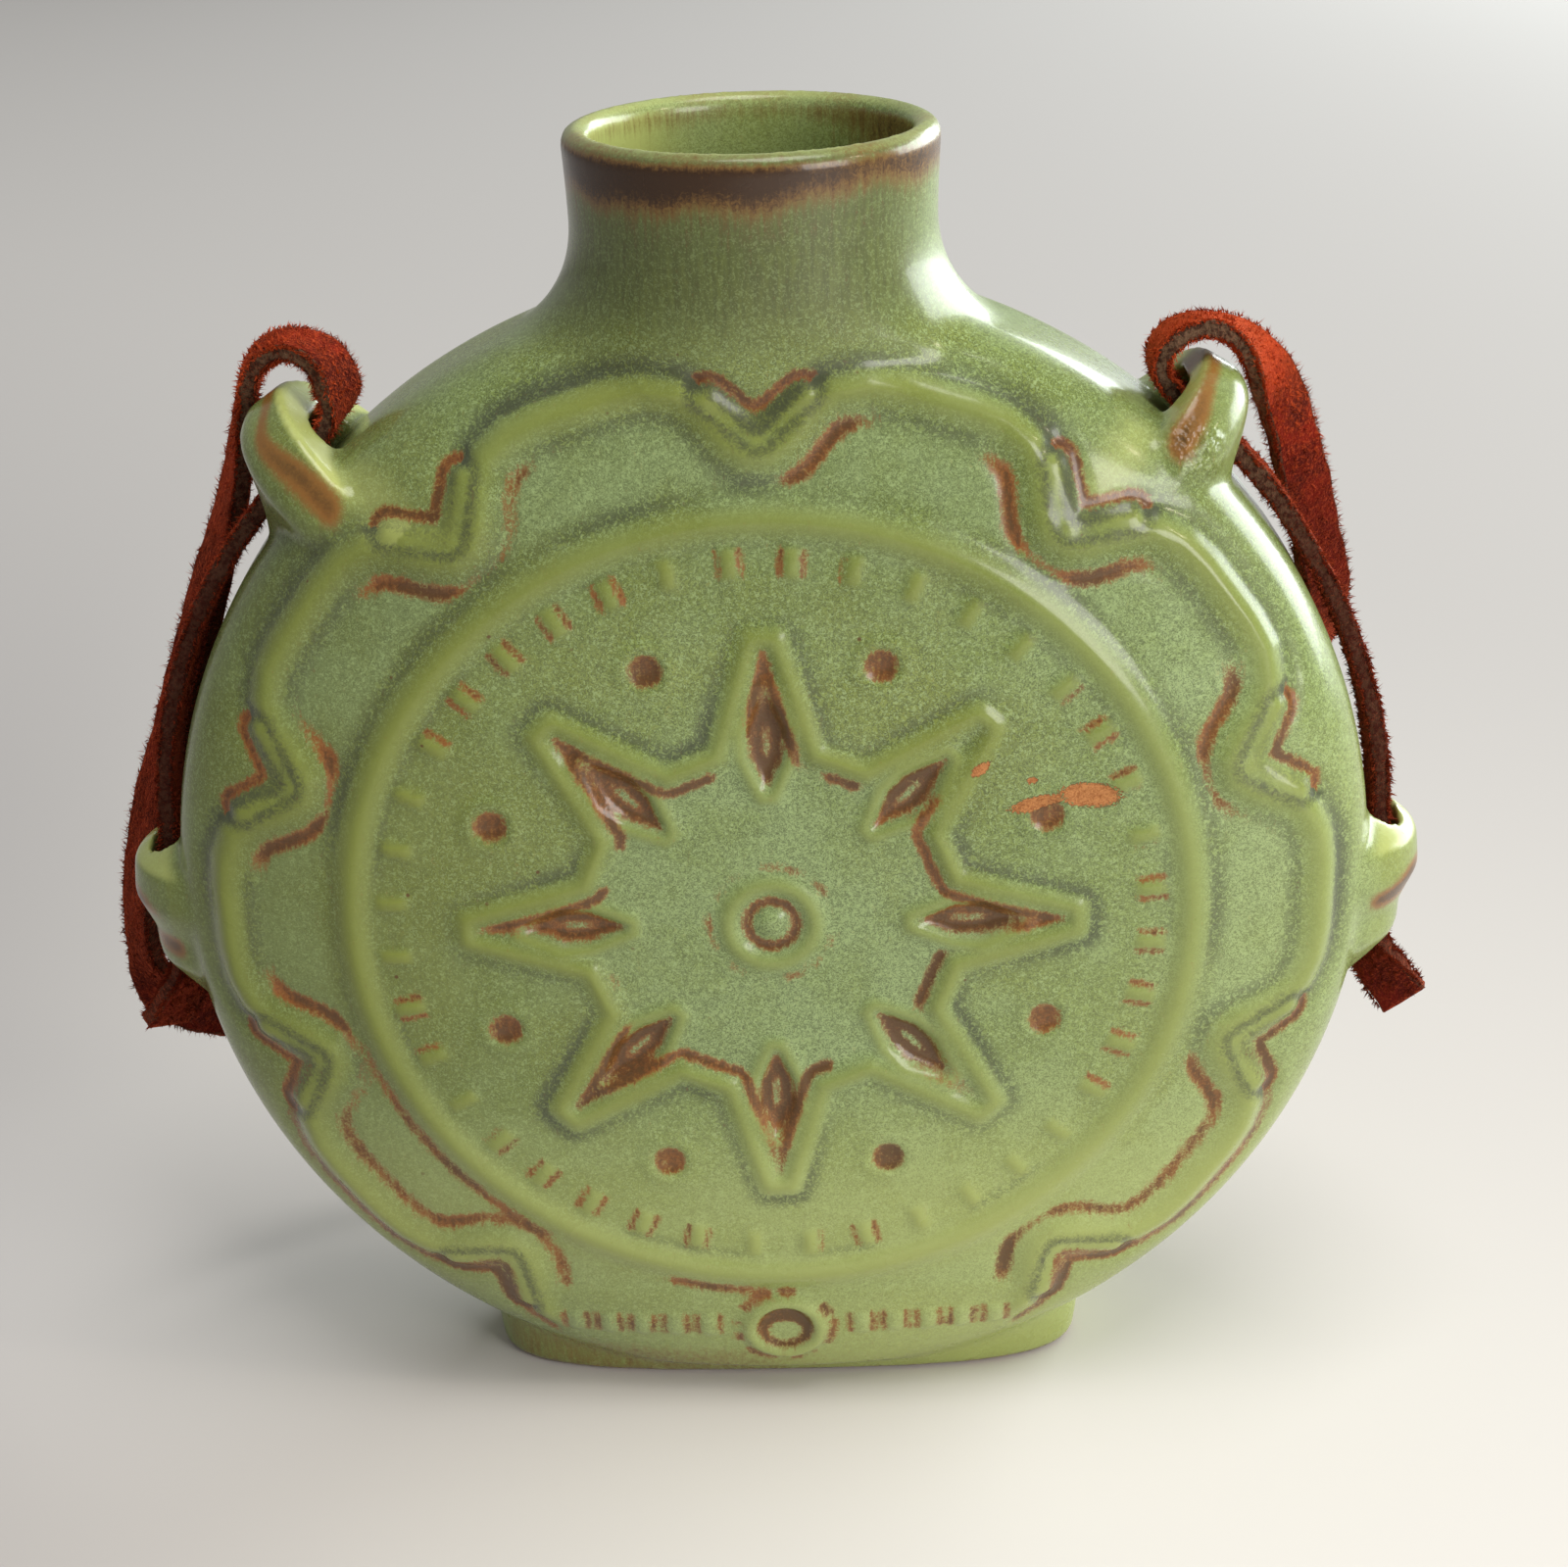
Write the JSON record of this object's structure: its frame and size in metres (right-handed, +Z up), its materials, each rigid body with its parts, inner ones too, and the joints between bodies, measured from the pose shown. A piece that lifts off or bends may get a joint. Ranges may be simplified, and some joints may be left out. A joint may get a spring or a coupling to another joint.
{
  "type": "pilgrim flask vase",
  "caption": "Round flattened pilgrim flask of green glazed clay on a small foot, with a short wide neck, raised lines on both faces and a suede lace through lugs on its rim.",
  "frame": {"origin": "middle of the foot's standing face, on the surface it stands on", "axes": "+Z up the middle of the neck, +X to the right as the front is seen, the front face looks along -Y"},
  "size_m": [0.1719, 0.0569, 0.165],
  "materials": {
    "glaze": "satin green glaze, rust brown where it thins over edges",
    "suede": "napped red suede with brown raw edges"
  },
  "bodies": {
    "root": {"neck_collar": "glaze", "foot": "glaze", "front_shell": "glaze", "back_shell": "glaze", "lug_upper_right": "glaze", "lug_upper_left": "glaze", "lug_lower_right": "glaze", "lug_lower_left": "glaze", "front_border": "glaze", "front_ring_line": "glaze", "front_star": "glaze", "front_ticks": "glaze", "front_base_marks": "glaze", "back_border": "glaze", "back_ring_line": "glaze", "back_star": "glaze", "back_ticks": "glaze", "back_base_marks": "glaze", "lace_left_tail": "suede", "lace_left_run": "suede", "lace_loop": "suede", "lace_right_run": "suede", "lace_right_tail": "suede"}
  },
  "joints": []
}
